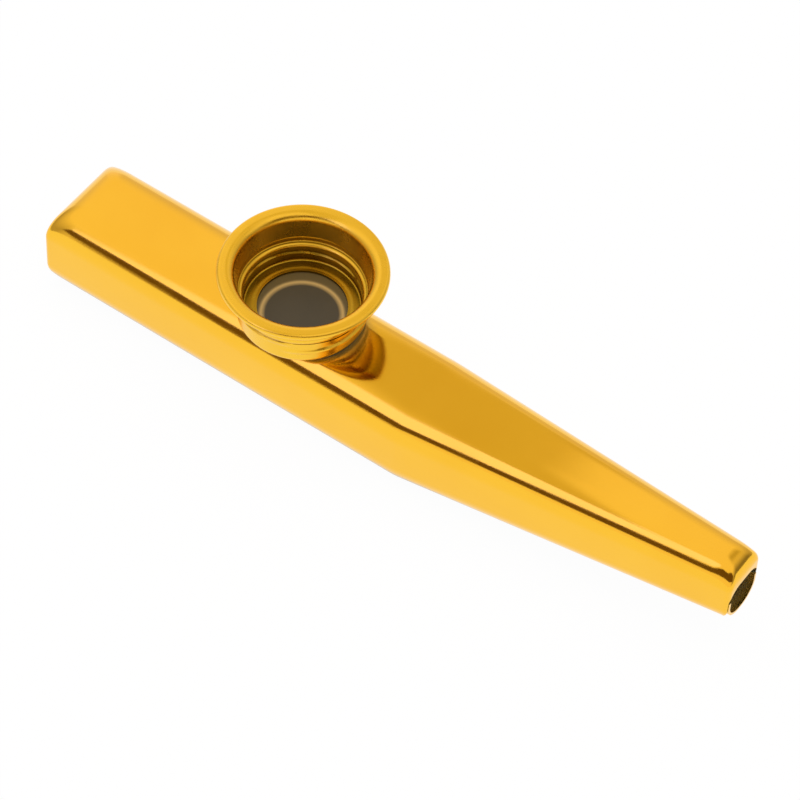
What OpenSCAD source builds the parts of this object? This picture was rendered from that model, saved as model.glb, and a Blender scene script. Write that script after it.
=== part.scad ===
// A sheet-metal kazoo: a long folded body that narrows to one end, and a round
// screw cap on a threaded cup that clamps a thin humming membrane.
// X runs along the body to the narrow end, Z is up and the body rests on Z = 0.
// The origin is on the rest plane, under the middle of the body's length.

/* [Body] */
// Length of the body, from the wide mouth end to the narrow end
body_length = 121; // [112:1:130]
// Width of the body from the mouth end to where it starts to narrow
body_width = 17.1; // [16:0.1:18]
// Height of the flat top above the rest plane
body_height = 16.1; // [15:0.1:18]
// Width of the body at the narrow end
tip_width = 8; // [7.8:0.1:8.8]
// How far the underside has risen at the narrow end
tip_underside_rise = 6.7; // [5.5:0.1:7]
// How far the top face has risen at the narrow end
tip_top_rise = 2.1; // [0.5:0.1:3]
// Distance from the mouth end to where the underside starts to rise
underside_start = 65; // [58:0.5:68]
// Distance from the mouth end to where the sides start to narrow
taper_start = 66; // [64:0.5:80]
// Thickness of the metal sheet
sheet = 0.4; // [0.35:0.05:0.5]

/* [Body edges] */
// Radius of the long top edges on the wide part
top_edge_r = 5.5; // [4.6:0.1:6]
// Radius of the long bottom edges on the wide part
bottom_edge_r = 5.3; // [4.4:0.1:5.6]
// Radius of all four long edges at the narrow end
tip_edge_r = 3.8; // [3.4:0.1:3.9]
// Radius of the mouth end's top edge
mouth_top_r = 4.9; // [4:0.1:5]
// Radius of the mouth end's bottom edge
mouth_low_r = 2.7; // [2:0.1:3.2]
// Radius of the mouth end's two upright corners
mouth_corner_r = 0.9; // [0.8:0.1:2]
// Radius of the narrow end's two upright corners
tip_corner_r = 0.85; // [0.6:0.05:0.9]
// How far the upper shell's hem wraps up from the underside
hem_height = 0.9; // [0.7:0.05:1.2]
// Height of the lower shell's upright walls above the rest plane
tray_wall = 6.2; // [5.8:0.1:6.6]

/* [Openings] */
// Width of the slot in the mouth end
mouth_width = 11; // [9:0.1:12]
// Height of the slot in the mouth end
mouth_height = 5.6; // [4.5:0.1:6]
// Height of the slot's middle above the rest plane
mouth_middle = 6.6; // [6.2:0.1:7]
// Radius of the two upper corners of the arched opening in the narrow end
tip_opening_r = 2.5; // [2:0.1:2.7]
// Height of the arch's crown below the top face at the narrow end
tip_crown_drop = 4.3; // [4:0.1:4.8]

/* [Turret] */
// Distance from the mouth end to the axis of the round cap
turret_offset = 42.5; // [39:0.5:46]
// Outer diameter of the cap's flange
rim_diameter = 25.7; // [24.5:0.1:27]
// Height of the flange's top above the body's flat top
turret_height = 9.75; // [9.5:0.05:10.5]
// Width of the flange's flat ring, before it bends down into the funnel
flange_flat = 0.7; // [0.5:0.05:0.9]
// Inner diameter of the lip that presses on the membrane
lip_diameter = 13.6; // [13:0.1:14]
// Inner diameter of the sound hole under the membrane
sound_hole_diameter = 12; // [11:0.1:12.4]

/* [Thread] */
// Inner diameter of the threaded cup, on the thread's crest
cup_bore = 18.84; // [18.8:0.02:18.9]
// Height of the cup's wall above the body's flat top
cup_height = 4.3; // [4.2:0.05:4.3]
// Rise of the thread in one turn
thread_pitch = 1.5; // [1.4:0.05:1.6]
// Radial play between the cap and the cup
thread_play = 0.14; // [0.12:0.01:0.16]

/* [Membrane] */
// Diameter of the membrane disc
membrane_diameter = 15.2; // [14.6:0.1:16]
// Thickness of the stiff ring under the film
ring_thickness = 0.34; // [0.3:0.01:0.35]
// Thickness of the film
film_thickness = 0.08; // [0.06:0.01:0.1]

/* [Hidden] */
$fn = 96;

// Clearance between two sheets that lie against each other
seam_gap = 0.04;
// Length that a cut runs past what it cuts
overrun = 5;
// Length that a ridge's foot sinks into the wall it stands on
sink = 0.2;

// Places along the body
mouth_x = -body_length / 2;
tip_x = body_length / 2;
rise_x = mouth_x + underside_start;
taper_x = mouth_x + taper_start;
turret_x = mouth_x + turret_offset;

// Heights of the upper shell's lowest plane and of the hem, where its sheet stops
shell_low = -(sheet + seam_gap);
hem_z = shell_low + hem_height;

// Heights at the narrow end of the underside's plane, of the opening's crown, and
// of the lower shell's rim, which ends under the crown's round corners
tip_low = shell_low + tip_underside_rise;
crown_z = body_height + tip_top_rise - tip_crown_drop;
tip_rim_z = crown_z - tip_opening_r - seam_gap;

// Steps in each rounded corner of a section, and in each rounded end
corner_steps = 8;
end_steps = 8;
// First angle of a rounded end, so that the end closes with a small flat
first_angle = 9;
// Height of the short upright flats in the mouth slot's round ends
slot_flat = 0.08;
// Depth that the narrow end's opening cuts into the inside of the side walls
arch_bite = 0.1;

// Heights in the turret
seat_z = body_height;
cup_floor_z = seat_z + sheet;
cup_top_z = seat_z + cup_height;
tab_z = seat_z - sheet - seam_gap;
rim_z = seat_z + turret_height;
ring_z = cup_floor_z + seam_gap;
film_z = ring_z + ring_thickness;
lip_z = film_z + film_thickness + seam_gap;

// Radii of the threaded cup, from the sound hole outwards
hole_r = sound_hole_diameter / 2;
eyelet_r = hole_r + sheet;
tab_length = 1;
tab_width = 5;
cup_bore_r = cup_bore / 2;
cup_wall_r = cup_bore_r + sheet;
cup_bend_r = 0.9;

// The collar reaches down past the hole's lowest edge, out on the rounded top edges
collar_lip = 0.5;
top_flat = body_width / 2 - top_edge_r;
edge_reach = eyelet_r - top_flat;
inner_edge_r = top_edge_r - sheet;
edge_drop = top_edge_r - sqrt(inner_edge_r * inner_edge_r - edge_reach * edge_reach);
collar_z = seat_z - edge_drop - collar_lip;

// Radii of the cap, at the middle of its sheet
rim_r = (rim_diameter - sheet) / 2;
curl_r = 0.35;
flare_r = 1.25;
curl_start_angle = -30;
flare_end_angle = 172;
neck_play = 0.1;
neck_r = cup_wall_r + neck_play;
shoulder_r = 0.4;
thread_wall_r = cup_bore_r - thread_play - sheet / 2;
lip_bend_r = 0.5;
lip_bend_angle = 80;
lip_r = lip_diameter / 2;
lip_flat = 0.4;
lip_tilt = 0.04;

// The shallow groove rolled round the cap above its shoulder
groove_rise = 0.9;
groove_depth = 0.1;
groove_width = 0.6;

// The rolled thread: its section, its play and its steps
thread_depth = 0.38;
thread_crest = 0.34;
thread_foot = 0.76;
thread_side_play = 0.14;
thread_turn = 315;
thread_lead_in = 75;
thread_step = 7.5;
thread_fade = 45;

// Heights of the cap's shoulder, its lip, its lip bend and its thread's start
lip_bend_rise = 0.55;
thread_rise = 1.05;
shoulder_z = cup_top_z + seam_gap + sheet / 2;
lip_middle_z = lip_z + sheet / 2;
lip_bend_z = lip_middle_z + lip_bend_rise;
thread_z = lip_bend_z + thread_rise;

// Steps in the round parts of the turret's outlines
curl_steps = 6;
flare_steps = 9;
bend_steps = 5;
cup_bend_steps = 8;

// A value that runs evenly from a at xa to b at xb, and stays level outside
function ramp(x, xa, xb, a, b) = a + (b - a) * min(max((x - xa) / (xb - xa), 0), 1);

// The body's outer form at a place x along it
function half_width_at(x) = ramp(x, taper_x, tip_x, body_width, tip_width) / 2;
function top_at(x) = body_height + ramp(x, taper_x, tip_x, 0, tip_top_rise);
function underside_at(x) = shell_low + ramp(x, rise_x, tip_x, 0, tip_underside_rise);
function top_radius_at(x) = ramp(x, taper_x, tip_x, top_edge_r, tip_edge_r);
function bottom_radius_at(x) = ramp(x, taper_x, tip_x, bottom_edge_r, tip_edge_r);

// How far a rounded edge of radius r falls back at a distance s from its end
function fall_back(r, s) = s >= r ? 0 : r - sqrt(r * r - (r - s) * (r - s));

// How far both rounded ends together fall back, for radii at the mouth and the tip
function ends_fall(mouth_r, tip_r, from_mouth, from_tip) =
    fall_back(mouth_r, from_mouth) + fall_back(tip_r, from_tip);

// The points of one quarter-round corner in the plane at x
function corner(x, y, z, r, start) = [
    for (i = [0:corner_steps])
        let (a = start + 90 * i / corner_steps)
        [x, y + r * cos(a), z + r * sin(a)]
];

// One ring of points round the body at x, sunk by inset on every side
function ring_at(x, inset, from_mouth, from_tip) =
    let (
        top_r = top_radius_at(x) - inset,
        low_r = bottom_radius_at(x) - inset,
        top_fall = ends_fall(mouth_top_r - inset, tip_edge_r - inset, from_mouth, from_tip),
        low_fall = fall_back(mouth_low_r - inset, from_mouth),
        side_fall = ends_fall(mouth_corner_r - inset, tip_corner_r - inset, from_mouth, from_tip),
        half = half_width_at(x) - inset - side_fall,
        high = top_at(x) - inset - top_fall,
        low = underside_at(x) + inset + low_fall,
        top_arc = top_r - top_fall,
        low_arc = low_r - max(low_fall, side_fall)
    )
    concat(
        corner(x, half - top_arc, high - top_arc, top_arc, 0),
        corner(x, top_arc - half, high - top_arc, top_arc, 90),
        corner(x, low_arc - half, low + low_arc, low_arc, 180),
        corner(x, half - low_arc, low + low_arc, low_arc, 270)
    );

// Distances from a rounded end of radius r to its rings, and where the first one lies
function end_distance(r, angle) = r * (1 - cos(angle));
function end_distances(r) = [
    for (i = [0:end_steps])
        end_distance(r, first_angle + (90 - first_angle) * i / end_steps)
];

// A closed skin through rings that have the same number of points each
module skin(rings) {
    count = len(rings[0]);
    last = len(rings) - 1;
    points = [for (ring = rings) each ring];
    walls = [
        for (i = [0:last - 1], j = [0:count - 1])
            let (
                k = (j + 1) % count,
                a = i * count + j,
                b = i * count + k,
                c = (i + 1) * count + k,
                d = (i + 1) * count + j
            )
            each [[a, c, b], [a, d, c]]
    ];
    near_cap = [for (j = [0:count - 1]) j];
    far_cap = [for (j = [count - 1:-1:0]) last * count + j];
    polyhedron(points, concat(walls, [near_cap, far_cap]));
}

// The body's outer form, sunk by inset, with both ends rounded
module rounded_form(inset) {
    mouth_r = mouth_top_r - inset;
    tip_r = tip_edge_r - inset;
    mouth_end = mouth_x + inset - end_distance(mouth_r, first_angle);
    tip_end = tip_x - inset + end_distance(tip_r, first_angle);
    tip_set = end_distances(tip_r);
    places = concat(
        [for (s = end_distances(mouth_r)) mouth_end + s],
        [rise_x, taper_x],
        [for (i = [end_steps:-1:0]) tip_end - tip_set[i]]
    );
    skin([for (x = places) ring_at(x, inset, x - mouth_end, tip_end - x)]);
}

// The same form with a straight, open narrow end that runs past the tip
module open_form(inset, past_tip) {
    mouth_r = mouth_top_r - inset;
    mouth_end = mouth_x + inset - end_distance(mouth_r, first_angle);
    places = concat(
        [for (s = end_distances(mouth_r)) mouth_end + s],
        [rise_x, taper_x, tip_x, tip_x + past_tip]
    );
    skin([for (x = places) ring_at(x, inset, x - mouth_end, body_length)]);
}

// A slab across the body, level up to where the underside starts to rise, that
// then runs straight to its two heights at the narrow end and on past it
module rising_slab(from, to, tip_from, tip_to) {
    start = mouth_x - overrun;
    end = tip_x + 2 * overrun;
    run = (end - rise_x) / (tip_x - rise_x);
    outline = [
        [start, from],
        [rise_x, from],
        [end, from + (tip_from - from) * run],
        [end, to + (tip_to - to) * run],
        [rise_x, to],
        [start, to]
    ];
    rotate([90, 0, 0])
        linear_extrude(2 * body_width, center = true)
            polygon(outline);
}

// An outline with round corners of radius r
module round_window(width, height, r) {
    square([width, height - 2 * r], center = true);
    square([width - 2 * r, height], center = true);
    for (side = [-1, 1], level = [-1, 1])
        translate([side * (width / 2 - r), level * (height / 2 - r)])
            circle(r);
}

// The slot that the mouth end opens with, run through the end wall
module mouth_slot() {
    slot_depth = overrun + mouth_top_r;
    translate([mouth_x - overrun, 0, mouth_middle])
        rotate([90, 0, 90])
            linear_extrude(slot_depth)
                round_window(mouth_width, mouth_height, (mouth_height - slot_flat) / 2);
}

// The arched opening of the narrow end, run down past the hem
module tip_arch() {
    width = tip_width - 2 * (sheet - arch_bite);
    arch_height = crown_z - tip_low + overrun;
    translate([tip_x - tip_corner_r, 0, crown_z - arch_height / 2])
        rotate([90, 0, 90])
            linear_extrude(tip_corner_r + overrun)
                round_window(width, arch_height, tip_opening_r);
}

// A helical ridge round Z that climbs by the pitch each turn and passes z = 0 at
// angle 0. Its foot is at foot_r, and it fades in and out at the two angles.
module thread_ridge(foot_r, play, from, to) {
    crest_width = thread_crest + 2 * play;
    slope = (thread_foot - thread_crest) / 2 / thread_depth;
    rings = [
        for (a = [from:thread_step:to])
            let (
                near = min(a - from, to - a) + thread_step,
                rise = thread_depth * min(1, near / thread_fade),
                z = thread_pitch * a / 360,
                half_crest = crest_width / 2,
                half_foot = half_crest + slope * (rise + sink),
                section = [
                    [foot_r - sink, half_foot],
                    [foot_r + rise, half_crest],
                    [foot_r + rise, -half_crest],
                    [foot_r - sink, -half_foot]
                ]
            )
            [for (p = section) [p[0] * cos(a), p[0] * sin(a), z + p[1]]]
    ];
    skin(rings);
}

// Points along an arc of radius r about [x, z], from angle a to angle b
function arc(x, z, r, a, b, steps) = [
    for (i = [0:steps])
        let (t = a + (b - a) * i / steps)
        [x + r * cos(t), z + r * sin(t)]
];

// A path moved sideways by a distance, square to its own direction
function beside(path, distance) = [
    for (i = [0:len(path) - 1])
        let (
            run = path[min(i + 1, len(path) - 1)] - path[max(i - 1, 0)],
            length = norm(run)
        )
        path[i] + distance * [-run[1], run[0]] / length
];

// The outline of a sheet that follows a path
function sheet_outline(path) =
    let (other = beside(path, -sheet / 2))
    concat(beside(path, sheet / 2), [for (i = [len(other) - 1:-1:0]) other[i]]);

// Upper shell: a drawn sheet with rounded edges, hemmed under the lower shell
module upper_shell() {
    color("goldenrod")
        difference() {
            rounded_form(0);
            rounded_form(sheet);
            rising_slab(shell_low - overrun, hem_z, tip_low - overrun, tip_low + hem_height);
            mouth_slot();
            tip_arch();
            translate([turret_x, 0, seat_z - overrun])
                cylinder(h = 2 * overrun, r = eyelet_r + seam_gap);
        }
}

// Lower shell: a tray nested in the upper shell, open as a trough at the narrow end
module lower_shell() {
    color("darkgoldenrod")
        difference() {
            intersection() {
                open_form(sheet + seam_gap, 0);
                rising_slab(shell_low, tray_wall, tip_low, tip_rim_z);
            }
            open_form(2 * sheet + seam_gap, overrun);
            mouth_slot();
        }
}

// Threaded cup: a short rolled-thread cup clinched into the body's sound hole
module threaded_cup() {
    inner_bend_r = cup_bend_r - sheet;
    bend_x = cup_bore_r - inner_bend_r;
    bend_z = cup_floor_z + inner_bend_r;
    outline = concat(
        [[hole_r, collar_z], [eyelet_r, collar_z], [eyelet_r, seat_z]],
        arc(bend_x, bend_z, cup_bend_r, -90, 0, cup_bend_steps),
        [[cup_wall_r, cup_top_z], [cup_bore_r, cup_top_z]],
        arc(bend_x, bend_z, inner_bend_r, 0, -90, cup_bend_steps),
        [[hole_r, cup_floor_z]]
    );
    color("gold")
        translate([turret_x, 0, 0])
            difference() {
                union() {
                    rotate_extrude()
                        polygon(outline);
                    collar_tabs();
                    translate([0, 0, thread_z])
                        thread_ridge(cup_wall_r, 0, -thread_lead_in, thread_angle(-thread_foot / 2));
                }
                translate([0, 0, thread_z])
                    thread_ridge(cup_bore_r, thread_side_play, -thread_lead_in, thread_angle(thread_foot));
            }
}

// Two tabs bent out of the collar, that hold the cup under the body's flat top
module collar_tabs() {
    tab_r = eyelet_r + tab_length;
    translate([0, 0, tab_z - sheet])
        difference() {
            intersection() {
                cylinder(h = sheet, r = tab_r);
                cube([2 * tab_r + overrun, tab_width, 2 * overrun], center = true);
            }
            translate([0, 0, -overrun])
                cylinder(h = 2 * overrun, r = eyelet_r - sheet / 2);
        }
}

// The angle at which the thread's middle is a distance above the cup's top
function thread_angle(above) =
    floor(360 * (cup_top_z + above - thread_z) / thread_pitch / thread_step) * thread_step;

// The path of the groove rolled into the cap's wall at a height, from above
function groove_path(z) = [
    [neck_r, z + groove_width / 2],
    [neck_r - groove_depth, z],
    [neck_r, z - groove_width / 2]
];

// Screw cap: a flared funnel with a rolled thread and a lip over the membrane
module screw_cap() {
    flange_z = rim_z - sheet / 2;
    flare_x = rim_r - curl_r - flange_flat;
    path = concat(
        arc(rim_r - curl_r, flange_z - curl_r, curl_r, curl_start_angle, 90, curl_steps),
        arc(flare_x, flange_z - flare_r, flare_r, 90, flare_end_angle, flare_steps),
        groove_path(shoulder_z + groove_rise),
        arc(neck_r - shoulder_r, shoulder_z + shoulder_r, shoulder_r, 0, -90, bend_steps),
        arc(thread_wall_r + shoulder_r, shoulder_z - shoulder_r, shoulder_r, 90, 180, bend_steps),
        arc(thread_wall_r - lip_bend_r, lip_bend_z, lip_bend_r, 0, -lip_bend_angle, bend_steps),
        [[lip_r + 2 * lip_flat, lip_middle_z + lip_tilt]],
        [[lip_r + lip_flat, lip_middle_z]],
        [[lip_r, lip_middle_z]]
    );
    color("gold")
        translate([turret_x, 0, 0])
            union() {
                rotate_extrude()
                    polygon(sheet_outline(path));
                translate([0, 0, thread_z])
                    thread_ridge(cup_bore_r - thread_play, 0, 0, thread_turn);
            }
}

// Membrane ring: the stiff ring that carries the film
module membrane_ring() {
    color("saddlebrown")
        translate([turret_x, 0, ring_z])
            difference() {
                cylinder(h = ring_thickness, d = membrane_diameter);
                translate([0, 0, -overrun])
                    cylinder(h = 2 * overrun, r = hole_r + sheet / 2);
            }
}

// Membrane film: the thin film that hums
module membrane_film() {
    color("dimgray")
        translate([turret_x, 0, film_z])
            cylinder(h = film_thickness, d = membrane_diameter);
}

upper_shell();
lower_shell();
threaded_cup();
screw_cap();
membrane_ring();
membrane_film();
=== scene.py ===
"""A gold anodised sheet-metal kazoo on a white table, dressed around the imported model.

Lengths are in millimetres in the shape functions, which repeat the solids' own sizes, and are
turned to metres when a mesh is made. X runs to the narrow end, Z is up.
"""

import math

import bmesh
import bpy
from mathutils import Matrix, Vector


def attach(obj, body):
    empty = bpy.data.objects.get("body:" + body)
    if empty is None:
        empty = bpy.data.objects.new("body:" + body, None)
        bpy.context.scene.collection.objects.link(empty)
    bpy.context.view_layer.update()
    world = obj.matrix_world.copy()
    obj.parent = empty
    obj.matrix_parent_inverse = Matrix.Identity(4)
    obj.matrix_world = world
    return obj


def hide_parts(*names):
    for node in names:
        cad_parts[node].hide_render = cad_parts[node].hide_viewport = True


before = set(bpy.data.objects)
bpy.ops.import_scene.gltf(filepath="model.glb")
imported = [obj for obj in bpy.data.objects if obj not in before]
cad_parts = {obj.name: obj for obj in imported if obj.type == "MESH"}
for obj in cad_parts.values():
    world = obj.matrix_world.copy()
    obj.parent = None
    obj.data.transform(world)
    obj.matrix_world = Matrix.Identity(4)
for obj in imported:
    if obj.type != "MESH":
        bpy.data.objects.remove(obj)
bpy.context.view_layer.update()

MM = 0.001

# The driving sizes of the body
BODY_LENGTH = 121.0
BODY_WIDTH = 17.1
BODY_TOP = 16.1
TIP_WIDTH = 8.0
TIP_TOP_RISE = 2.1
TIP_UNDERSIDE_RISE = 6.7
UNDERSIDE_START = 65.0
TAPER_START = 66.0
TURRET_OFFSET = 42.5
SHEET = 0.4
SEAM_GAP = 0.04

# Places worked out from them
MOUTH_X = -BODY_LENGTH / 2
TIP_X = BODY_LENGTH / 2
RISE_X = MOUTH_X + UNDERSIDE_START
TAPER_X = MOUTH_X + TAPER_START
TURRET_X = MOUTH_X + TURRET_OFFSET
BODY_HALF = BODY_WIDTH / 2
TIP_HALF = TIP_WIDTH / 2
SHELL_LOW = -(SHEET + SEAM_GAP)
TIP_LOW = SHELL_LOW + TIP_UNDERSIDE_RISE

# The radii of the body's rounded edges and ends
TOP_EDGE_R = 5.5
BOTTOM_EDGE_R = 5.3
TIP_EDGE_R = 3.8
MOUTH_TOP_R = 4.9
MOUTH_LOW_R = 2.7
MOUTH_CORNER_R = 0.9
TIP_CORNER_R = 0.85

# Heights of the upper shell's hem and of the tray's walls
HEM_HEIGHT = 0.9
TRAY_WALL = 6.2

# The openings
MOUTH_WIDTH = 11.0
MOUTH_HEIGHT = 5.6
MOUTH_MIDDLE = 6.6
SLOT_FLAT = 0.08
ARCH_BITE = 0.1
ARCH_HALF = TIP_HALF - SHEET + ARCH_BITE
ARCH_R = 2.5
CROWN_DROP = 4.3
CROWN_Z = BODY_TOP + TIP_TOP_RISE - CROWN_DROP
TIP_RIM_Z = CROWN_Z - ARCH_R - SEAM_GAP
HOLE_R = 6.0
OVERRUN = 5.0

# The turret: the cup, the membrane on its floor and the cap
CUP_FLOOR = BODY_TOP + SHEET
CUP_HEIGHT = 4.3
CUP_TOP = BODY_TOP + CUP_HEIGHT
CUP_BORE_R = 9.42
CUP_WALL_R = CUP_BORE_R + SHEET
COLLAR_Z = 13.95
RING_THICKNESS = 0.34
RING_TOP = CUP_FLOOR + SEAM_GAP + RING_THICKNESS
FILM_THICKNESS = 0.08
FILM_R = 7.6
TURRET_HEIGHT = 9.75
RIM_Z = BODY_TOP + TURRET_HEIGHT
RIM_DIAMETER = 25.7
RIM_R = (RIM_DIAMETER - SHEET) / 2
LIP_R = 6.8
LIP_Z = RING_TOP + FILM_THICKNESS + SEAM_GAP + SHEET / 2
LIP_BEND_R = 0.5
LIP_BEND_RISE = 0.55
LIP_BEND_Z = LIP_Z + LIP_BEND_RISE
SHOULDER_Z = CUP_TOP + SEAM_GAP + SHEET / 2
SHOULDER_R = 0.4

# The shallow groove rolled round the cap above its shoulder
GROOVE_RISE = 0.9
GROOVE_DEPTH = 0.1
GROOVE_WIDTH = 0.6

# The rolled thread. Its ends are angles in degrees, which run on past a full turn, and it fades out
# near them. A half foot is half the thread's width where it leaves the wall.
THREAD_PITCH = 1.5
THREAD_PLAY = 0.14
THREAD_RISE = 1.05
THREAD_Z = LIP_BEND_Z + THREAD_RISE
THREAD_DEPTH = 0.38
THREAD_HALF_CREST = 0.17
THREAD_FADE = 45.0
CAP_THREAD_ENDS = (0.0, 315.0)
CAP_HALF_FOOT = 0.45
CAP_INSIDE_DEPTH = 0.26
CUP_OUTSIDE_ENDS = (-75.0, 300.0)
CUP_INSIDE_ENDS = (-75.0, 500.0)
CUP_HALF_FOOT = 0.5

# Steps of the meshes
CORNER_STEPS = 20
CURL_STEPS = 12
FLARE_STEPS = 20
GROOVE_STEPS = 6
SHOULDER_STEPS = 10
LIP_BEND_STEPS = 12
CUP_OUTSIDE_STEPS = 16
CUP_INSIDE_STEPS = 10
END_STEPS = 16
END_FIRST_ANGLE = 9.0
LENGTH_STEP = 2.0
OPENING_STEPS = 10
CIRCLE_STEPS = 96
FILM_RINGS = 40
TURNS = 240
PATH_STEP = 0.12
SAME_PLACE = 1e-6
WELD = 1e-7
SHARP_ANGLE = 32.0


def ramp(x, from_x, to_x, start, end):
    """A value that runs evenly from start at from_x to end at to_x, and stays level outside."""
    return start + (end - start) * min(max((x - from_x) / (to_x - from_x), 0.0), 1.0)


def top_at(x):
    return BODY_TOP + ramp(x, TAPER_X, TIP_X, 0, TIP_TOP_RISE)


def underside_at(x):
    return SHELL_LOW + ramp(x, RISE_X, TIP_X, 0, TIP_LOW - SHELL_LOW)


def fall_back(radius, distance):
    """How far a rounded edge falls back at a distance from its end."""
    if distance >= radius:
        return 0.0
    return radius - math.sqrt(max(0.0, radius * radius - (radius - distance) ** 2))


def arc(x, z, radius, start, end, steps):
    """The points of an arc round a middle, between two angles in degrees."""
    points = []
    for i in range(steps + 1):
        angle = math.radians(start + (end - start) * i / steps)
        points.append((x + radius * math.cos(angle), z + radius * math.sin(angle)))
    return points


def circle(radius):
    """The points of a circle round the origin."""
    points = []
    for i in range(CIRCLE_STEPS):
        angle = 2 * math.pi * i / CIRCLE_STEPS
        points.append((radius * math.cos(angle), radius * math.sin(angle)))
    return points


def section(x, inset, from_mouth, from_tip):
    """The ring of points round the body at x, sunk by inset on every side."""
    top_r = ramp(x, TAPER_X, TIP_X, TOP_EDGE_R, TIP_EDGE_R) - inset
    low_r = ramp(x, TAPER_X, TIP_X, BOTTOM_EDGE_R, TIP_EDGE_R) - inset
    top_fall = fall_back(MOUTH_TOP_R - inset, from_mouth) + fall_back(TIP_EDGE_R - inset, from_tip)
    low_fall = fall_back(MOUTH_LOW_R - inset, from_mouth)
    side_fall = fall_back(MOUTH_CORNER_R - inset, from_mouth) + fall_back(TIP_CORNER_R - inset, from_tip)
    half = ramp(x, TAPER_X, TIP_X, BODY_HALF, TIP_HALF) - inset - side_fall
    high = top_at(x) - inset - top_fall
    low = underside_at(x) + inset + low_fall
    top_arc = top_r - top_fall
    low_arc = low_r - max(low_fall, side_fall)
    ring = arc(half - top_arc, high - top_arc, top_arc, 0, 90, CORNER_STEPS)
    ring += arc(top_arc - half, high - top_arc, top_arc, 90, 180, CORNER_STEPS)
    ring += arc(low_arc - half, low + low_arc, low_arc, 180, 270, CORNER_STEPS)
    ring += arc(half - low_arc, low + low_arc, low_arc, 270, 360, CORNER_STEPS)
    return [(x, y, z) for y, z in ring]


def even_places(start, end):
    """Places along X between start and end, about LENGTH_STEP apart, both ends left out."""
    count = max(1, round((end - start) / LENGTH_STEP))
    return [start + (end - start) * i / count for i in range(1, count)]


def end_distances(radius):
    """Distances from a rounded end to its rings, the first one at the end's own small flat."""
    distances = []
    for i in range(END_STEPS + 1):
        angle = END_FIRST_ANGLE + (90.0 - END_FIRST_ANGLE) * i / END_STEPS
        distances.append(radius * (1 - math.cos(math.radians(angle))))
    return distances


def body_form(inset, open_past=None):
    """Rings of the body's form. open_past leaves the narrow end straight, run past the tip."""
    mouth_set = end_distances(MOUTH_TOP_R - inset)
    mouth_end = MOUTH_X + inset - mouth_set[0]
    places = [mouth_end + s for s in mouth_set]
    places += even_places(places[-1], RISE_X) + [RISE_X]
    places.append(TAPER_X)
    if open_past is not None:
        places += even_places(TAPER_X, TIP_X) + [TIP_X]
        if open_past > 0:
            places.append(TIP_X + open_past)
        return [section(x, inset, x - mouth_end, math.inf) for x in places]
    tip_set = end_distances(TIP_EDGE_R - inset)
    tip_end = TIP_X - inset + tip_set[0]
    tip_places = [tip_end - s for s in reversed(tip_set)]
    places += even_places(TAPER_X, tip_places[0]) + tip_places
    return [section(x, inset, x - mouth_end, tip_end - x) for x in places]


# Making meshes

def new_object(name, bm):
    mesh = bpy.data.meshes.new(name)
    bm.to_mesh(mesh)
    bm.free()
    obj = bpy.data.objects.new(name, mesh)
    bpy.context.scene.collection.objects.link(obj)
    return obj


def add_points(bm, points):
    """Adds points given in millimetres."""
    return [bm.verts.new(Vector(p) * MM) for p in points]


def bridge(bm, near, far):
    """A band of faces between two closed loops that have the same number of points."""
    count = len(near)
    for j in range(count):
        k = (j + 1) % count
        bm.faces.new((near[j], near[k], far[k], far[j]))


def skin_object(name, rings):
    """A closed mesh through rings that have the same number of points each."""
    bm = bmesh.new()
    layers = [add_points(bm, ring) for ring in rings]
    for near, far in zip(layers, layers[1:]):
        bridge(bm, near, far)
    bm.faces.new(list(reversed(layers[0])))
    bm.faces.new(layers[-1])
    bmesh.ops.remove_doubles(bm, verts=bm.verts, dist=WELD)
    bmesh.ops.dissolve_degenerate(bm, edges=bm.edges, dist=WELD)
    bmesh.ops.recalc_face_normals(bm, faces=bm.faces)
    return new_object(name, bm)


def prism_object(name, outline, place):
    """A closed prism: an outline at height 0 and at height 1, each point placed by a function."""
    bm = bmesh.new()
    low = add_points(bm, [place(u, v, 0) for u, v in outline])
    high = add_points(bm, [place(u, v, 1) for u, v in outline])
    bridge(bm, low, high)
    bm.faces.new(list(reversed(low)))
    bm.faces.new(high)
    bmesh.ops.recalc_face_normals(bm, faces=bm.faces)
    return new_object(name, bm)


def apply_modifiers(obj):
    bpy.context.view_layer.update()
    graph = bpy.context.evaluated_depsgraph_get()
    mesh = bpy.data.meshes.new_from_object(obj.evaluated_get(graph))
    obj.modifiers.clear()
    obj.data = mesh


def boolean(obj, other, operation):
    """Applies one exact boolean and removes the tool."""
    modifier = obj.modifiers.new("cut", "BOOLEAN")
    modifier.operation = operation
    modifier.solver = "EXACT"
    modifier.object = other
    apply_modifiers(obj)
    bpy.data.objects.remove(other)


def smooth(obj):
    """Smooth shading with sharp edges where the faces meet at more than SHARP_ANGLE."""
    for polygon in obj.data.polygons:
        polygon.use_smooth = True
    obj.data.set_sharp_from_angle(angle=math.radians(SHARP_ANGLE))


# The two shells of the body

def rounded_outline(width, height, radius):
    """A rectangle round the origin, with rounded corners."""
    points = []
    for quarter, (su, sv) in enumerate(((1, 1), (-1, 1), (-1, -1), (1, -1))):
        start = 90 * quarter
        middle_u = su * (width / 2 - radius)
        middle_v = sv * (height / 2 - radius)
        points += arc(middle_u, middle_v, radius, start, start + 90, OPENING_STEPS)
    return points


def mouth_slot():
    """The cutter of the slot at the mouth end."""
    outline = rounded_outline(MOUTH_WIDTH, MOUTH_HEIGHT, MOUTH_HEIGHT / 2 - SLOT_FLAT / 2)
    reach = (MOUTH_X - OVERRUN, MOUTH_X + MOUTH_TOP_R)
    return prism_object("slot_cut", outline, lambda u, v, w: (reach[w], u, MOUTH_MIDDLE + v))


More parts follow.
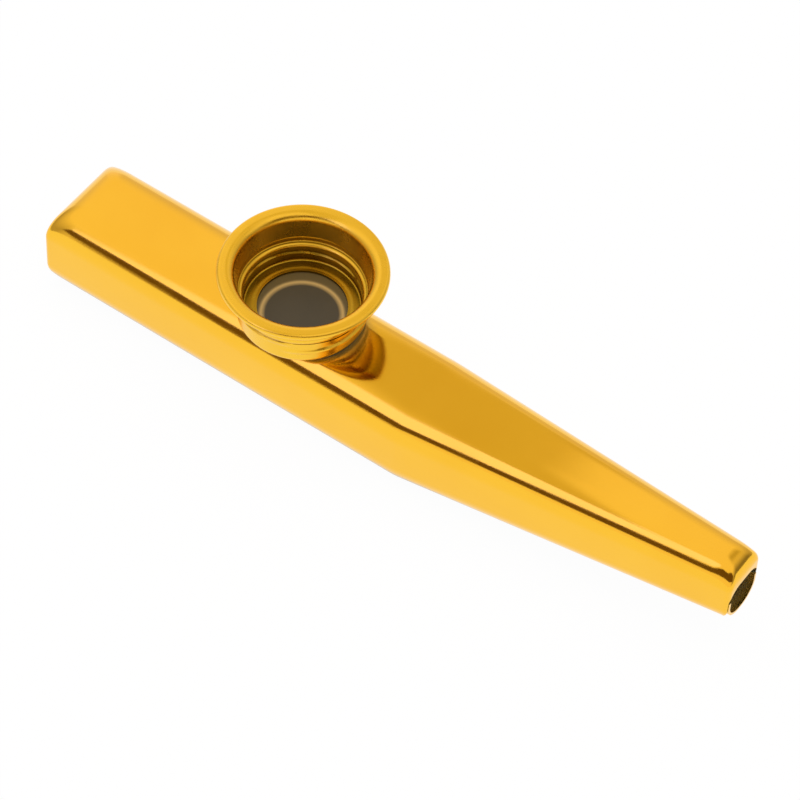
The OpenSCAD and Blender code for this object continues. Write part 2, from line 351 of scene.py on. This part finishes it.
def tip_arch():
    """The cutter of the opening at the narrow end, round above and open below."""
    height = CROWN_Z - TIP_LOW + OVERRUN
    outline = rounded_outline(2 * ARCH_HALF, height, ARCH_R)
    reach = (TIP_X - TIP_CORNER_R, TIP_X + OVERRUN)
    return prism_object("arch_cut", outline, lambda u, v, w: (reach[w], u, CROWN_Z - height / 2 + v))


def rising_slab(low, high, tip_low, tip_high):
    """A slab across the body, level at first, that then runs on to its heights at the narrow end."""
    start = MOUTH_X - OVERRUN
    end = TIP_X + 2 * OVERRUN
    run = (end - RISE_X) / (TIP_X - RISE_X)
    end_low = low + (tip_low - low) * run
    end_high = high + (tip_high - high) * run
    outline = [(start, low), (RISE_X, low), (end, end_low), (end, end_high), (RISE_X, high), (start, high)]
    side = (-2 * BODY_HALF, 2 * BODY_HALF)
    return prism_object("slab_cut", outline, lambda u, v, w: (u, side[w], v))


def round_cut(radius, low, high):
    """The cutter of a round hole on the turret's axis."""
    reach = (low, high)
    return prism_object("hole_cut", circle(radius), lambda u, v, w: (TURRET_X + u, v, reach[w]))


def upper_shell():
    """The upper half: a hollow form without its underside, with the slot, the arch and the sound hole."""
    obj = skin_object("upper_shell_metal", body_form(0.0))
    hem = rising_slab(SHELL_LOW - OVERRUN, SHELL_LOW + HEM_HEIGHT, TIP_LOW - OVERRUN, TIP_LOW + HEM_HEIGHT)
    hole = round_cut(HOLE_R + SHEET + SEAM_GAP, BODY_TOP - OVERRUN, BODY_TOP + OVERRUN)
    for cut in (hem, skin_object("inner", body_form(SHEET)), mouth_slot(), tip_arch(), hole):
        boolean(obj, cut, "DIFFERENCE")
    return obj


def lower_shell():
    """The tray inside the upper half: the underside and its low walls."""
    obj = skin_object("lower_shell_metal", body_form(SHEET + SEAM_GAP, open_past=0.0))
    boolean(obj, rising_slab(SHELL_LOW, TRAY_WALL, TIP_LOW, TIP_RIM_Z), "INTERSECT")
    boolean(obj, skin_object("inner", body_form(2 * SHEET + SEAM_GAP, open_past=OVERRUN)), "DIFFERENCE")
    boolean(obj, mouth_slot(), "DIFFERENCE")
    return obj


# The turret

def resample(points):
    """The same path with its long straight runs cut into steps of PATH_STEP at most."""
    path = [points[0]]
    for a, b in zip(points, points[1:]):
        length = math.dist(a, b)
        if length < SAME_PLACE:
            continue
        count = max(1, math.ceil(length / PATH_STEP))
        for i in range(1, count + 1):
            path.append((a[0] + (b[0] - a[0]) * i / count, a[1] + (b[1] - a[1]) * i / count))
    return path


def sheet_outline(path):
    """A closed outline round a sheet whose middle follows a path."""
    sides = []
    for i, point in enumerate(path):
        before = path[max(i - 1, 0)]
        after = path[min(i + 1, len(path) - 1)]
        run = (after[0] - before[0], after[1] - before[1])
        length = math.hypot(*run)
        sides.append((point, (-run[1] / length, run[0] / length)))
    half = SHEET / 2
    left = [(p[0] + n[0] * half, p[1] + n[1] * half) for p, n in sides]
    right = [(p[0] - n[0] * half, p[1] - n[1] * half) for p, n in sides]
    return left + list(reversed(right))


def helix_bulge(angle, z, ends, half_foot):
    """How far the rolled thread lifts the wall at an angle and height, from 0 to 1."""
    start, end = ends
    lift = 0.0
    turn = math.floor(start / 360.0) - 1
    while 360.0 * turn + angle <= end:
        a = 360.0 * turn + angle
        turn += 1
        if a < start:
            continue
        fade = min(1.0, (a - start) / THREAD_FADE, (end - a) / THREAD_FADE)
        offset = abs(z - THREAD_Z - THREAD_PITCH * a / 360.0)
        if offset < half_foot:
            t = min(1.0, (half_foot - offset) / (half_foot - THREAD_HALF_CREST))
            lift = max(lift, fade * t * t * (3 - 2 * t))
    return lift


def lathe(name, outline, bulge):
    """A closed outline turned round the turret's axis. bulge moves a point out by its angle."""
    bm = bmesh.new()
    columns = []
    for i in range(TURNS):
        degrees = 360.0 * i / TURNS
        angle = math.radians(degrees)
        column = []
        for r, z in outline:
            radius = r + bulge(degrees, r, z)
            column.append((TURRET_X + radius * math.cos(angle), radius * math.sin(angle), z))
        columns.append(add_points(bm, column))
    for here, there in zip(columns, columns[1:] + columns[:1]):
        bridge(bm, here, there)
    bmesh.ops.recalc_face_normals(bm, faces=bm.faces)
    return new_object(name, bm)


def groove_path(neck_r):
    """The wall's middle along the groove, from its upper edge to its lower edge."""
    groove_z = SHOULDER_Z + GROOVE_RISE
    path = []
    for k in range(-GROOVE_STEPS, GROOVE_STEPS + 1):
        share = k / GROOVE_STEPS
        drop = 0.5 + 0.5 * math.cos(math.pi * share)
        path.append((neck_r - GROOVE_DEPTH * drop, groove_z - share * GROOVE_WIDTH / 2))
    return path


def screw_cap():
    """The cap: a sheet from the rim's curl down the flare and the threaded wall to the inward lip."""
    flange_z = RIM_Z - SHEET / 2
    curl_r = 0.35
    curl_start_angle = -30
    flange_flat = 0.7
    flare_r = 1.25
    flare_end_angle = 172
    neck_play = 0.1
    wall_r = CUP_BORE_R - THREAD_PLAY - SHEET / 2
    lip_bend_angle = -80
    lip_flat = 0.4
    lip_tilt = 0.04
    curl_x = RIM_R - curl_r
    path = arc(curl_x, flange_z - curl_r, curl_r, curl_start_angle, 90, CURL_STEPS)
    path += arc(curl_x - flange_flat, flange_z - flare_r, flare_r, 90, flare_end_angle, FLARE_STEPS)
    neck_r = CUP_WALL_R + neck_play
    path += groove_path(neck_r)
    path += arc(neck_r - SHOULDER_R, SHOULDER_Z + SHOULDER_R, SHOULDER_R, 0, -90, SHOULDER_STEPS)
    path += arc(wall_r + SHOULDER_R, SHOULDER_Z - SHOULDER_R, SHOULDER_R, 90, 180, SHOULDER_STEPS)
    path += arc(wall_r - LIP_BEND_R, LIP_BEND_Z, LIP_BEND_R, 0, lip_bend_angle, LIP_BEND_STEPS)
    path += [(LIP_R + 2 * lip_flat, LIP_Z + lip_tilt), (LIP_R + lip_flat, LIP_Z), (LIP_R, LIP_Z)]

    def bulge(degrees, r, z):
        if not LIP_BEND_Z - LIP_BEND_R < z < SHOULDER_Z - SHOULDER_R or r > wall_r + SHEET:
            return 0.0
        depth = THREAD_DEPTH if r > wall_r else CAP_INSIDE_DEPTH
        return helix_bulge(degrees, z, CAP_THREAD_ENDS, CAP_HALF_FOOT) * depth

    return lathe("screw_cap_metal", sheet_outline(resample(path)), bulge)


def threaded_cup():
    """The cup: a collar in the sound hole, a floor and a threaded wall."""
    bend_r = 0.9
    edge = 0.08
    plain_edge = 0.1
    inner_r = bend_r - SHEET
    bend_x = CUP_BORE_R - inner_r
    bend_z = CUP_FLOOR + inner_r
    eyelet_r = HOLE_R + SHEET
    outline = [(HOLE_R, COLLAR_Z), (eyelet_r, COLLAR_Z), (eyelet_r, BODY_TOP)]
    outline += arc(bend_x, bend_z, bend_r, -90, 0, CUP_OUTSIDE_STEPS)
    outline += [(CUP_WALL_R, CUP_TOP - edge), (CUP_WALL_R - edge, CUP_TOP)]
    outline += [(CUP_BORE_R + edge, CUP_TOP), (CUP_BORE_R, CUP_TOP - edge)]
    outline += arc(bend_x, bend_z, inner_r, 0, -90, CUP_INSIDE_STEPS)
    outline += [(HOLE_R, CUP_FLOOR), (HOLE_R, COLLAR_Z)]
    closed = resample(outline)[:-1]

    def bulge(degrees, r, z):
        if z < bend_z + SHEET or r < CUP_BORE_R - SHEET / 2:
            return 0.0
        outer = r > CUP_BORE_R + SHEET / 2
        if outer and z > CUP_TOP - plain_edge:
            return 0.0
        ends = CUP_OUTSIDE_ENDS if outer else CUP_INSIDE_ENDS
        return helix_bulge(degrees, z, ends, CUP_HALF_FOOT) * THREAD_DEPTH

    return lathe("threaded_cup_metal", closed, bulge)


def film():
    """The film: a thin flat disc."""
    bm = bmesh.new()
    rims = []
    for z in (RING_TOP, RING_TOP + FILM_THICKNESS):
        centre = add_points(bm, [(TURRET_X, 0, z)])[0]
        loops = []
        for i in range(1, FILM_RINGS + 1):
            ring = circle(FILM_R * i / FILM_RINGS)
            loops.append(add_points(bm, [(TURRET_X + u, v, z) for u, v in ring]))
        first = loops[0]
        for here, there in zip(first, first[1:] + first[:1]):
            bm.faces.new((centre, here, there))
        for near, far in zip(loops, loops[1:]):
            bridge(bm, near, far)
        rims.append(loops[-1])
    bridge(bm, *rims)
    bmesh.ops.recalc_face_normals(bm, faces=bm.faces)
    return new_object("membrane_film_skin", bm)


# Nodes

# Where most of a noise's values lie
NOISE_LOW = 0.3
NOISE_HIGH = 0.7


def bare_material(name):
    """A material with an empty node tree."""
    material = bpy.data.materials.new(name)
    material.use_nodes = True
    tree = material.node_tree
    tree.nodes.clear()
    return material, tree.nodes, tree.links


def surface_material(name):
    """A material with one Principled shader."""
    material, nodes, links = bare_material(name)
    output = nodes.new("ShaderNodeOutputMaterial")
    shader = nodes.new("ShaderNodeBsdfPrincipled")
    links.new(shader.outputs[0], output.inputs[0])
    return material, nodes, links, shader


def add_noise(nodes, links, scale, detail=3.0, stretch=None):
    coords = nodes.new("ShaderNodeTexCoord")
    noise = nodes.new("ShaderNodeTexNoise")
    noise.inputs["Scale"].default_value = scale
    noise.inputs["Detail"].default_value = detail
    if stretch:
        mapping = nodes.new("ShaderNodeMapping")
        mapping.inputs["Scale"].default_value = stretch
        links.new(coords.outputs["Object"], mapping.inputs["Vector"])
        links.new(mapping.outputs[0], noise.inputs["Vector"])
    else:
        links.new(coords.outputs["Object"], noise.inputs["Vector"])
    return noise.outputs["Fac"]


def map_range(nodes, links, source, low, high, start=NOISE_LOW, end=NOISE_HIGH):
    """A value that runs from low to high while its source runs from start to end."""
    node = nodes.new("ShaderNodeMapRange")
    node.inputs["From Min"].default_value = start
    node.inputs["From Max"].default_value = end
    node.inputs["To Min"].default_value = low
    node.inputs["To Max"].default_value = high
    links.new(source, node.inputs["Value"])
    return node.outputs[0]


def math_node(nodes, links, operation, *values):
    """One Math node. A value is a socket or a number."""
    node = nodes.new("ShaderNodeMath")
    node.operation = operation
    for socket, value in zip(node.inputs, values):
        if isinstance(value, (int, float)):
            socket.default_value = value
        else:
            links.new(value, socket)
    return node.outputs[0]


def window(nodes, links, value, low, high, soft):
    """1 between low and high, falling softly to 0 outside."""
    rise = map_range(nodes, links, value, 0.0, 1.0, low - soft, low + soft)
    fall = map_range(nodes, links, value, 1.0, 0.0, high - soft, high + soft)
    return math_node(nodes, links, "MULTIPLY", rise, fall)


def blend_colors(nodes, links, factor, first, second):
    """One colour mix. A colour is a socket or four numbers."""
    node = nodes.new("ShaderNodeMix")
    node.data_type = "RGBA"
    for socket, value in ((node.inputs[6], first), (node.inputs[7], second)):
        if isinstance(value, tuple):
            socket.default_value = value
        else:
            links.new(value, socket)
    links.new(factor, node.inputs[0])
    return node.outputs[2]


def blend_shaders(nodes, links, factor, first, second):
    """One shader mix. All three are sockets."""
    node = nodes.new("ShaderNodeMixShader")
    for socket, value in zip(node.inputs, (factor, first, second)):
        links.new(value, socket)
    return node.outputs[0]


def add_glow(nodes, color):
    glow = nodes.new("ShaderNodeEmission")
    glow.inputs["Color"].default_value = color
    return glow.outputs[0]


def add_bump(nodes, links, source, shader, strength, depth):
    """A bump on the shader from a height of 0 to 1, with its full depth in metres."""
    bump = nodes.new("ShaderNodeBump")
    bump.inputs["Strength"].default_value = strength
    bump.inputs["Distance"].default_value = depth
    links.new(source, bump.inputs["Height"])
    links.new(bump.outputs[0], shader.inputs["Normal"])


# The part's materials

# Gold anodised aluminium in the open: the cap and the cup are paler and less shiny than the shells
SHELL_COLOR = (0.99, 0.56, 0.035)
SHELL_ROUGHNESS = 0.10
CAP_COLOR = (0.99, 0.60, 0.04)
CAP_ROUGHNESS = 0.28

# Painted shade in a recess: the shade colour painted there, the reach in metres and the two openness
# limits that find it, and how metallic it still is
SHELL_PAINTED_SHADE = ((0.16, 0.18, 0.11, 1), 0.012, 0.3, 0.55, 0.1)
CAP_PAINTED_SHADE = ((0.23, 0.145, 0.006, 1), 0.014, 0.44, 0.74, 1.0)
PAINTED_SHADE_SAMPLES = 16


def painted_shade_in_recess(nodes, links, reach, full_at, none_at):
    """The mask of the painted shade: 1 far inside a recess and 0 in the open, by how much of the sky
    within a reach is hidden.
    """
    hidden = nodes.new("ShaderNodeAmbientOcclusion")
    hidden.samples = PAINTED_SHADE_SAMPLES
    hidden.inputs["Distance"].default_value = reach
    return map_range(nodes, links, hidden.outputs["AO"], 1.0, 0.0, full_at, none_at)


def anodised(name, base, roughness, recess):
    """Gold anodised aluminium: a tinted metal under a thin clear layer, with fine grain and scuffs, and
    with painted shade in its recesses.
    """
    cloud_scale = 60.0
    cloud_tint = (0.97, 0.94, 0.85)
    scuff_scale = 240.0
    scuff_detail = 5.0
    scuff_stretch = (1.0, 1.6, 1.6)
    least_rough = roughness * 0.8
    most_rough = roughness * 1.25
    grain_scale = 9000.0
    grain_detail = 2.0
    grain_strength = 0.12
    grain_depth = 0.00002
    coat = 0.2
    coat_roughness = 0.12
    painted_shade_color, reach, full_at, none_at, painted_shade_metal = recess
    material, nodes, links, shader = surface_material(name)
    shader.inputs["Coat Roughness"].default_value = coat_roughness
    cloud = map_range(nodes, links, add_noise(nodes, links, cloud_scale), 0.0, 1.0)
    clouded = tuple(part * share for part, share in zip(base, cloud_tint))
    tint = blend_colors(nodes, links, cloud, base + (1,), clouded + (1,))
    # Painted shade in recesses: a darker colour, less metal and no clear layer there
    painted_shade = painted_shade_in_recess(nodes, links, reach, full_at, none_at)
    shade = blend_colors(nodes, links, painted_shade, tint, painted_shade_color)
    links.new(shade, shader.inputs["Base Color"])
    metal = map_range(nodes, links, painted_shade, 1.0, painted_shade_metal, 0.0, 1.0)
    links.new(metal, shader.inputs["Metallic"])
    clear = map_range(nodes, links, painted_shade, coat, 0.0, 0.0, 1.0)
    links.new(clear, shader.inputs["Coat Weight"])
    scuff = add_noise(nodes, links, scuff_scale, scuff_detail, scuff_stretch)
    rough = map_range(nodes, links, scuff, least_rough, most_rough)
    links.new(rough, shader.inputs["Roughness"])
    grain = add_noise(nodes, links, grain_scale, grain_detail)
    add_bump(nodes, links, grain, shader, grain_strength, grain_depth)
    return material


def film_material():
    """Grey-brown film, with the gold light that the lip throws on it and the lip's shade near its edge
    painted in.
    """
    cloud_scale = 220.0
    cloud_detail = 4.0
    dark = (0.044, 0.034, 0.016, 1)
    light = (0.056, 0.044, 0.022, 1)
    glow_color = (0.48, 0.32, 0.10, 1)
    # The colour of the lip's painted shade on the film's outer band
    lip_shadow_color = (0.11, 0.075, 0.02, 1)
    least_rough = 0.34
    most_rough = 0.5
    bump_strength = 0.2
    bump_depth = 0.0002
    # The glow is a ring whose middle lies in front of the turret's axis, so it shows at the back.
    # Its lengths are in metres.
    glow_middle = (TURRET_X * MM + 0.00065, -0.00101, RING_TOP * MM)
    glow_from = 0.00575
    glow_to = 0.0065
    glow_soft = 0.0003
    lip_shadow_from = 0.0062
    lip_shadow_to = 0.0067
    material, nodes, links, shader = surface_material("membrane_film_grey")
    cloud = add_noise(nodes, links, cloud_scale, cloud_detail)
    color = blend_colors(nodes, links, map_range(nodes, links, cloud, 0.0, 1.0), dark, light)
    coords = nodes.new("ShaderNodeTexCoord")
    from_middle = nodes.new("ShaderNodeVectorMath")
    from_middle.operation = "DISTANCE"
    links.new(coords.outputs["Object"], from_middle.inputs[0])
    from_middle.inputs[1].default_value = glow_middle
    distance = from_middle.outputs["Value"]
    glow = window(nodes, links, distance, glow_from, glow_to, glow_soft)
    color = blend_colors(nodes, links, glow, color, glow_color)
    # Painted shade of the lip on the film's outer band, outside the painted gold light
    outside = map_range(nodes, links, distance, 0.0, 1.0, lip_shadow_from, lip_shadow_to)
    color = blend_colors(nodes, links, outside, color, lip_shadow_color)
    links.new(color, shader.inputs["Base Color"])
    rough = map_range(nodes, links, cloud, least_rough, most_rough)
    links.new(rough, shader.inputs["Roughness"])
    add_bump(nodes, links, cloud, shader, bump_strength, bump_depth)
    return material


def card_material():
    """Brown card with a fine fibre."""
    fibre_scale = 1800.0
    fibre_detail = 4.0
    roughness = 0.8
    dark = (0.17, 0.09, 0.03, 1)
    light = (0.24, 0.14, 0.05, 1)
    material, nodes, links, shader = surface_material("membrane_ring_card")
    fibre = map_range(nodes, links, add_noise(nodes, links, fibre_scale, fibre_detail), 0.0, 1.0)
    links.new(blend_colors(nodes, links, fibre, dark, light), shader.inputs["Base Color"])
    shader.inputs["Roughness"].default_value = roughness
    return material


# Dressing the pieces

def give_material(obj, material):
    obj.data.materials.clear()
    obj.data.materials.append(material)


def dress(obj, material, body, node):
    """Gives a mesh its looks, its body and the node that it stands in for."""
    give_material(obj, material)
    smooth(obj)
    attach(obj, body)
    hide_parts(node)


# The table, the room, the cards and the lamp. Lengths from here on are in metres.

TABLE_HALF = 3.0
TABLE_COLOR = (0.92, 0.92, 0.92, 1)
# How much of the table's look is plain white, for the camera and for reflections
TABLE_WHITE_SHARE = 0.97
WHITE = (1, 1, 1, 1)

# Angles in the room are in degrees. Azimuth 0 is the front, toward -Y, and grows toward +X.
WALL_COLOR = (0.99, 0.90, 0.87, 1)
BLACK = (0.0, 0.0, 0.0, 1)

# The dark gap, where no lamp or wall is lit: azimuth, lower edge and upper edge
DARK_GAP = (
    (-36, 14, 14),
    (-30, 10, 26),
    (-25, 8, 28),
    (-23, 0, 28),
    (-21, 0, 28),
    (-19.5, 6, 28),
    (-15, 8, 32),
    (-12, 10.5, 38),
    (-6, 15.5, 46),
    (7, 23, 53),
    (24, 27, 53),
    (52, 24, 53),
    (64, 22, 53),
    (76, 16, 50),
    (88, 9, 44),
    (98, 26, 26),
)
GAP_COLOR = (0.14, 0.086, 0.03, 1)
# How soft its edges are, as a share of the way up
GAP_SOFT = 0.02

# How much darker the walls are near the table than overhead: azimuth and share.
# The limits are shares of the way up from the table to overhead.
WALL_DIMMING = (
    (-180, 0.27),
    (-156, 0.2),
    (-146, 0.0),
    (-126, 0.0),
    (-112, 0.35),
    (-100, 0.5),
    (-36, 0.5),
    (-20, 0.0),
    (60, 0.0),
    (96, 0.62),
    (124, 0.74),
    (150, 0.5),
    (180, 0.27),
)
DIMMING_LIMITS = (0.13, 0.47)

# The darker panel high on the narrow end's side, seen by the turret: azimuth and elevation, how
# soft its sides and its ends are, and its colour
PANEL_AZIMUTH = (128, 166)
PANEL_ELEVATION = (36, 66)
PANEL_SIDE_SOFT = 16.0
PANEL_END_SOFT = 9.0
PANEL_COLOR = (0.58, 0.51, 0.32, 1)


def flat_object(name, corners, material):
    """One flat face through its corners."""
    bm = bmesh.new()
    bm.faces.new([bm.verts.new(corner) for corner in corners])
    obj = new_object(name, bm)
    obj.data.materials.append(material)
    return obj


def table():
    """The white table: almost plain white to the camera and to reflections, matt to other light."""
    material, nodes, links = bare_material("white_table")
    diffuse = nodes.new("ShaderNodeBsdfDiffuse")
    diffuse.inputs["Color"].default_value = TABLE_COLOR
    path = nodes.new("ShaderNodeLightPath")
    seen = math_node(nodes, links, "MAXIMUM", path.outputs["Is Camera Ray"], path.outputs["Is Glossy Ray"])
    share = math_node(nodes, links, "MULTIPLY", seen, TABLE_WHITE_SHARE)
    mix = blend_shaders(nodes, links, share, diffuse.outputs[0], add_glow(nodes, WHITE))
    output = nodes.new("ShaderNodeOutputMaterial")
    links.new(mix, output.inputs[0])
    signs = ((-1, -1), (1, -1), (1, 1), (-1, 1))
    corners = [(sx * TABLE_HALF, sy * TABLE_HALF, 0) for sx, sy in signs]
    flat_object("white_table", corners, material)


def turn_share(azimuth):
    """An azimuth as a share of the full turn, from the back round to the back."""
    return (180.0 + azimuth) / 360.0


def azimuth_ramp(nodes, links, around, stops):
    """A value that depends on the azimuth. A stop is an azimuth in degrees and a value from 0 to 1."""
    ramp_node = nodes.new("ShaderNodeValToRGB")
    elements = ramp_node.color_ramp.elements
    while len(elements) < len(stops):
        elements.new(1.0)
    for element, (azimuth, value) in zip(elements, stops):
        element.position = turn_share(azimuth)
        element.color = (value, value, value, 1)
    links.new(around, ramp_node.inputs["Fac"])
    return ramp_node.outputs["Color"]


def wall_panel(nodes, links, around, height, walls):
    """The walls' colour with the soft-edged panel on them."""
    az_from, az_to = [turn_share(azimuth) for azimuth in PANEL_AZIMUTH]
    el_from, el_to = [elevation / 90.0 for elevation in PANEL_ELEVATION]
    side = window(nodes, links, around, az_from, az_to, PANEL_SIDE_SOFT / 360.0)
    ends = window(nodes, links, height, el_from, el_to, PANEL_END_SOFT / 90.0)
    panel = math_node(nodes, links, "MULTIPLY", side, ends)
    return blend_colors(nodes, links, panel, walls, PANEL_COLOR)


def dark_gap(nodes, links, around, height, walls):
    """The walls' colour with the dark gap cut into them."""
    low = azimuth_ramp(nodes, links, around, [(a, low_el / 90.0) for a, low_el, high_el in DARK_GAP])
    high = azimuth_ramp(nodes, links, around, [(a, high_el / 90.0) for a, low_el, high_el in DARK_GAP])
    above_low = math_node(nodes, links, "SUBTRACT", height, low)
    below_high = math_node(nodes, links, "SUBTRACT", high, height)
    inside = math_node(nodes, links, "MINIMUM", above_low, below_high)
    gap = map_range(nodes, links, inside, 0.0, 1.0, 0.0, GAP_SOFT)
    return blend_colors(nodes, links, gap, walls, GAP_COLOR)


def room():
    """A white room for the camera. Reflections see bright walls with a dark gap in front."""
    world = bpy.data.worlds.new("room")
    bpy.context.scene.world = world
    world.use_nodes = True
    nodes = world.node_tree.nodes
    links = world.node_tree.links
    nodes.clear()
    coords = nodes.new("ShaderNodeTexCoord")
    split = nodes.new("ShaderNodeSeparateXYZ")
    links.new(coords.outputs["Generated"], split.inputs[0])
    toward_front = math_node(nodes, links, "MULTIPLY", split.outputs["Y"], -1.0)
    azimuth = math_node(nodes, links, "ARCTAN2", split.outputs["X"], toward_front)
    around = map_range(nodes, links, azimuth, 0.0, 1.0, -math.pi, math.pi)
    elevation = math_node(nodes, links, "ARCSINE", split.outputs["Z"])
    height = math_node(nodes, links, "DIVIDE", elevation, math.pi / 2)
    near_table = map_range(nodes, links, height, 1.0, 0.0, *DIMMING_LIMITS)
    dimming = azimuth_ramp(nodes, links, around, WALL_DIMMING)
    dim = math_node(nodes, links, "MULTIPLY", near_table, dimming)
    walls = blend_colors(nodes, links, dim, WALL_COLOR, BLACK)
    walls = wall_panel(nodes, links, around, height, walls)
    walls = dark_gap(nodes, links, around, height, walls)
    reflected = nodes.new("ShaderNodeBackground")
    links.new(walls, reflected.inputs["Color"])
    backdrop = nodes.new("ShaderNodeBackground")
    backdrop.inputs["Color"].default_value = WHITE
    path = nodes.new("ShaderNodeLightPath")
    to_camera = path.outputs["Is Camera Ray"]
    mix = blend_shaders(nodes, links, to_camera, reflected.outputs[0], backdrop.outputs[0])
    output = nodes.new("ShaderNodeOutputWorld")
    links.new(mix, output.inputs[0])


def reflected_card(name, corners, material):
    """A flat card that only reflections see."""
    obj = flat_object(name, corners, material)
    obj.visible_camera = False
    obj.visible_diffuse = False
    obj.visible_shadow = False


def front_card():
    """The bright upright card in front: the near top edge shows it as a band above the dark line."""
    color = (1.25, 1.18, 2.8, 1)
    toward_front = -0.35
    outline = (
        (-0.25, 0.645),
        (-0.25, 0.19),
        (-0.20, 0.19),
        (-0.17, 0.174),
        (-0.13, 0.163),
        (-0.10, 0.162),
        (-0.082, 0.178),
        (-0.06, 0.222),
        (-0.04, 0.285),
        (-0.02, 0.345),
        (0.005, 0.40),
        (0.025, 0.47),
        (0.03, 0.55),
        (0.02, 0.645),
    )
    material, nodes, links = bare_material("front_card")
    output = nodes.new("ShaderNodeOutputMaterial")
    links.new(add_glow(nodes, color), output.inputs[0])
    reflected_card("front_card", [(x, toward_front, z) for x, z in outline], material)


def overhead_strip():
    """The duller strip close overhead: the flat top shows it beside the turret, toward the narrow end."""
    color = (0.70, 0.61, 0.37, 1)
    height = 0.15
    slant = 0.16
    left_out = -0.082
    left_in = -0.047
    right_in = -0.018
    right_out = -0.010
    near = -0.10
    far = 0.34
    material, nodes, links = bare_material("overhead_strip")
    coords = nodes.new("ShaderNodeTexCoord")
    split = nodes.new("ShaderNodeSeparateXYZ")
    links.new(coords.outputs["Object"], split.inputs[0])
    shift = math_node(nodes, links, "MULTIPLY", split.outputs["Y"], slant)
    across = math_node(nodes, links, "ADD", split.outputs["X"], shift)
    left = map_range(nodes, links, across, 0.0, 1.0, left_out, left_in)
    right = map_range(nodes, links, across, 1.0, 0.0, right_in, right_out)
    there = math_node(nodes, links, "MULTIPLY", left, right)
    clear = nodes.new("ShaderNodeBsdfTransparent").outputs[0]
    mix = blend_shaders(nodes, links, there, clear, add_glow(nodes, color))
    output = nodes.new("ShaderNodeOutputMaterial")
    links.new(mix, output.inputs[0])
    corners = ((left_out, near), (right_out, near), (right_out, far), (left_out, far))
    reflected_card("overhead_strip", [(x - slant * y, y, height) for x, y in corners], material)


def ceiling_lamp():
    """A soft square lamp above: it lights the table and the film, and isn't mirrored in the metal."""
    height = 1.0
    side = 1.2
    radiance = 1.2
    light = bpy.data.lights.new("ceiling_lamp", "AREA")
    light.shape = "RECTANGLE"
    light.size = side
    light.size_y = side
    light.energy = radiance * math.pi * side * side
    obj = bpy.data.objects.new("ceiling_lamp", light)
    bpy.context.scene.collection.objects.link(obj)
    obj.location = (0.0, 0.0, height)
    obj.visible_camera = False
    obj.visible_glossy = False


def camera():
    """The photograph's camera, from a fit of the rim's ellipse and the body's outlines."""
    elevation = math.radians(52.040)
    azimuth = math.radians(32.821)
    roll = math.radians(3.364)
    focal_pixels = 4002.8
    image_pixels = 800.0
    sensor = 36.0
    nearest = 0.01
    # The fit's lengths in millimetres, for a rim of this diameter
    fitted_rim = 26.0
    scale = RIM_DIAMETER / fitted_rim
    distance = 595.2 * scale
    shift_right = -14.369 * scale
    shift_up = 19.445 * scale
    level = math.cos(elevation)
    back = Vector((math.sin(azimuth) * level, -math.cos(azimuth) * level, math.sin(elevation)))
    flat_right = Vector((math.cos(azimuth), math.sin(azimuth), 0))
    flat_up = back.cross(flat_right)
    right = math.cos(roll) * flat_right + math.sin(roll) * flat_up
    up = math.cos(roll) * flat_up - math.sin(roll) * flat_right
    target = Vector((TURRET_X, 0, RIM_Z))
    place = (target + back * distance - right * shift_right - up * shift_up) * MM
    data = bpy.data.cameras.new("photo_camera")
    data.sensor_width = sensor
    data.lens = focal_pixels / image_pixels * sensor
    data.clip_start = nearest
    obj = bpy.data.objects.new("photo_camera", data)
    bpy.context.scene.collection.objects.link(obj)
    turn = Matrix((right, up, back)).transposed()
    obj.matrix_world = Matrix.Translation(place) @ turn.to_4x4()
    bpy.context.scene.camera = obj


# The whole scene

shell_gold = anodised("shell_gold", SHELL_COLOR, SHELL_ROUGHNESS, SHELL_PAINTED_SHADE)
cap_gold = anodised("cap_gold", CAP_COLOR, CAP_ROUGHNESS, CAP_PAINTED_SHADE)
dress(upper_shell(), shell_gold, "body", "upper_shell")
dress(lower_shell(), shell_gold, "body", "lower_shell")
dress(threaded_cup(), cap_gold, "body", "threaded_cup")
dress(screw_cap(), cap_gold, "cap", "screw_cap")
dress(film(), film_material(), "membrane", "membrane_film")
give_material(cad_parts["membrane_ring"], card_material())

table()
room()
front_card()
overhead_strip()
ceiling_lamp()
camera()
bpy.context.scene.view_settings.view_transform = "Standard"

bpy.context.view_layer.update()
